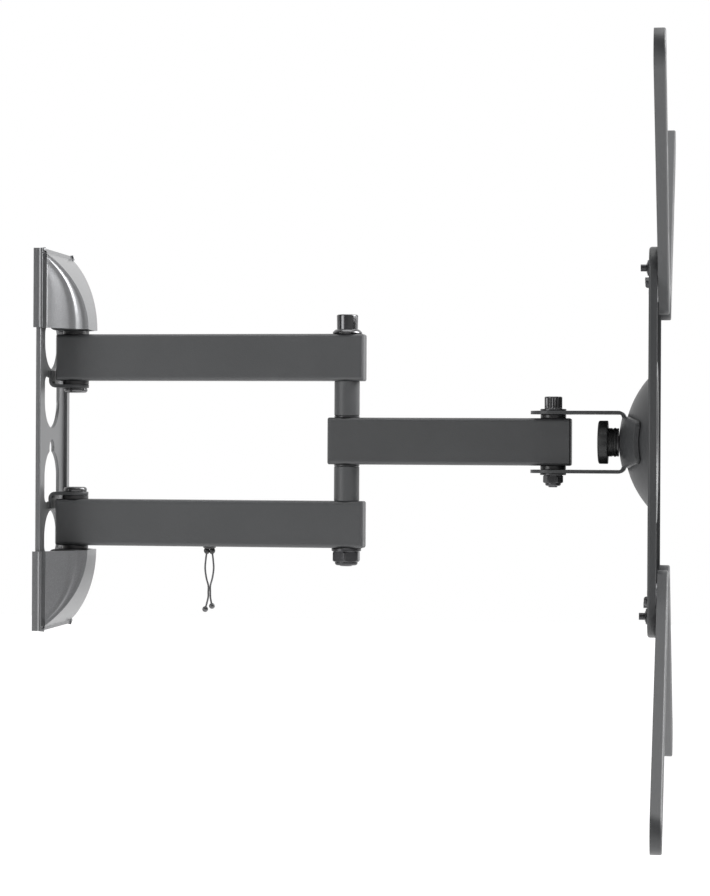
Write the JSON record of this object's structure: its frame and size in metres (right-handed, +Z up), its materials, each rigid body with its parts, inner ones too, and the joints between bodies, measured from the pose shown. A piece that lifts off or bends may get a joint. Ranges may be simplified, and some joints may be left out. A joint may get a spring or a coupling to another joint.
{
  "type": "full motion tv wall mount",
  "caption": "Full motion TV wall mount: wall plate, folding double arm, tilting head and TV plate with swinging VESA arms.",
  "frame": {"origin": "middle of the wall plate's back face, where it meets the wall", "axes": "+X out of the wall towards the TV, +Z up, arms stored straight out along +X"},
  "size_m": [0.3803, 0.424, 0.424],
  "materials": {
    "graphite_tube": "satin graphite powder coat",
    "graphite_plate": "satin graphite powder coat",
    "wall_plate_paint": "metallic grey powder coat",
    "cover_plastic": "metallic grey, soft gloss",
    "black_plastic": "moulded, fine grain",
    "cap_plastic": "moulded dark grey",
    "black_steel": "black nickel plate",
    "bright_steel": "zinc plate",
    "brass": "turned",
    "liner": "nylon sheet"
  },
  "bodies": {
    "wall_frame": {"wall_plate": "wall_plate_paint", "inner_wall_lugs": "graphite_plate", "outer_wall_lugs": "graphite_plate", "wall_pivot_bolts": "black_steel", "wall_pivot_washers": "black_steel", "wall_pivot_nuts": "black_steel"},
    "upper_cover": {"upper_cover": "cover_plastic"},
    "lower_cover": {"lower_cover": "cover_plastic"},
    "first_arm": {"upper_arm_tube": "graphite_tube", "lower_arm_tube": "graphite_tube", "first_arm_end_caps": "cap_plastic", "wall_end_bushes": "black_plastic", "elbow_sleeves": "bright_steel", "elbow_spacers": "graphite_tube", "elbow_bolt": "black_steel", "elbow_top_washer": "black_steel", "elbow_low_washer": "black_steel", "elbow_lock_nut": "black_steel"},
    "cable_clip": {"cable_clip_anchor": "black_plastic", "cable_clip_legs": "black_steel"},
    "second_arm": {"second_arm_tube": "graphite_tube", "second_arm_end_caps": "cap_plastic", "elbow_bushes": "black_plastic", "head_bushes": "black_plastic"},
    "head": {"head_yoke": "graphite_plate", "head_pivot_bolt": "black_steel", "head_pivot_nut": "black_steel", "head_pivot_washers": "black_steel", "friction_liner": "liner"},
    "clamp": {"clamp_bolt": "black_steel", "pressure_plate": "bright_steel", "knob_washer": "bright_steel"},
    "knob": {"clamp_knob": "black_plastic", "knob_insert": "brass"},
    "tv_plate": {"tilt_dome": "graphite_plate", "vesa_plate": "graphite_plate", "arm_pivot_rivets": "black_steel", "arm_pivot_spacers": "bright_steel"},
    "upper_left_arm": {"upper_left_vesa_arm": "graphite_plate", "upper_left_lock_bolt": "black_steel", "upper_left_lock_spacer": "bright_steel", "upper_left_lock_nut": "black_steel"},
    "upper_right_arm": {"upper_right_vesa_arm": "graphite_plate", "upper_right_lock_bolt": "black_steel", "upper_right_lock_spacer": "bright_steel", "upper_right_lock_nut": "black_steel"},
    "lower_left_arm": {"lower_left_vesa_arm": "graphite_plate", "lower_left_lock_bolt": "black_steel", "lower_left_lock_spacer": "bright_steel", "lower_left_lock_nut": "black_steel"},
    "lower_right_arm": {"lower_right_vesa_arm": "graphite_plate", "lower_right_lock_bolt": "black_steel", "lower_right_lock_spacer": "bright_steel", "lower_right_lock_nut": "black_steel"}
  },
  "joints": [
    {"name": "wall_swivel", "type": "hinge", "parent": "wall_frame", "child": "first_arm", "pos_m": [0.017, 0, 0], "axis": [0, 0, 1], "range_deg": [-90, 90]},
    {"name": "elbow", "type": "hinge", "parent": "first_arm", "child": "second_arm", "pos_m": [0.1861, 0, 0], "axis": [0, 0, -1], "range_deg": [-150, 150]},
    {"name": "head_swivel", "type": "hinge", "parent": "second_arm", "child": "head", "pos_m": [0.3111, 0, 0], "axis": [0, 0, 1], "range_deg": [-90, 90]},
    {"name": "level", "type": "hinge", "parent": "head", "child": "clamp", "pos_m": [0.4116, 0, 0], "axis": [1, 0, 0], "range_deg": [-4, 4]},
    {"name": "knob_turn", "type": "hinge", "parent": "clamp", "child": "knob", "pos_m": [0.34, 0, 0], "axis": [1, 0, 0], "continuous": true},
    {"name": "tilt", "type": "hinge", "parent": "clamp", "child": "tv_plate", "pos_m": [0.4116, 0, 0], "axis": [0, 1, 0], "range_deg": [-5, 15]},
    {"name": "clip_swivel", "type": "hinge", "parent": "first_arm", "child": "cable_clip", "pos_m": [0.1015, 0, -0.066], "axis": [0, 0, 1], "continuous": true},
    {"name": "upper_cover_slide", "type": "slide", "parent": "wall_frame", "child": "upper_cover", "axis": [0, 0, 1], "range_m": [0, 0.06]},
    {"name": "lower_cover_slide", "type": "slide", "parent": "wall_frame", "child": "lower_cover", "axis": [0, 0, -1], "range_m": [0, 0.06]},
    {"name": "upper_left_arm_turn", "type": "hinge", "parent": "tv_plate", "child": "upper_left_arm", "pos_m": [0.3803, -0.04, 0.092], "axis": [-1, 0, 0], "range_deg": [-14, 20]},
    {"name": "upper_right_arm_turn", "type": "hinge", "parent": "tv_plate", "child": "upper_right_arm", "pos_m": [0.3803, 0.04, 0.092], "axis": [1, 0, 0], "range_deg": [-14, 20]},
    {"name": "lower_left_arm_turn", "type": "hinge", "parent": "tv_plate", "child": "lower_left_arm", "pos_m": [0.3803, -0.04, -0.092], "axis": [1, 0, 0], "range_deg": [-14, 20]},
    {"name": "lower_right_arm_turn", "type": "hinge", "parent": "tv_plate", "child": "lower_right_arm", "pos_m": [0.3803, 0.04, -0.092], "axis": [-1, 0, 0], "range_deg": [-14, 20]}
  ]
}
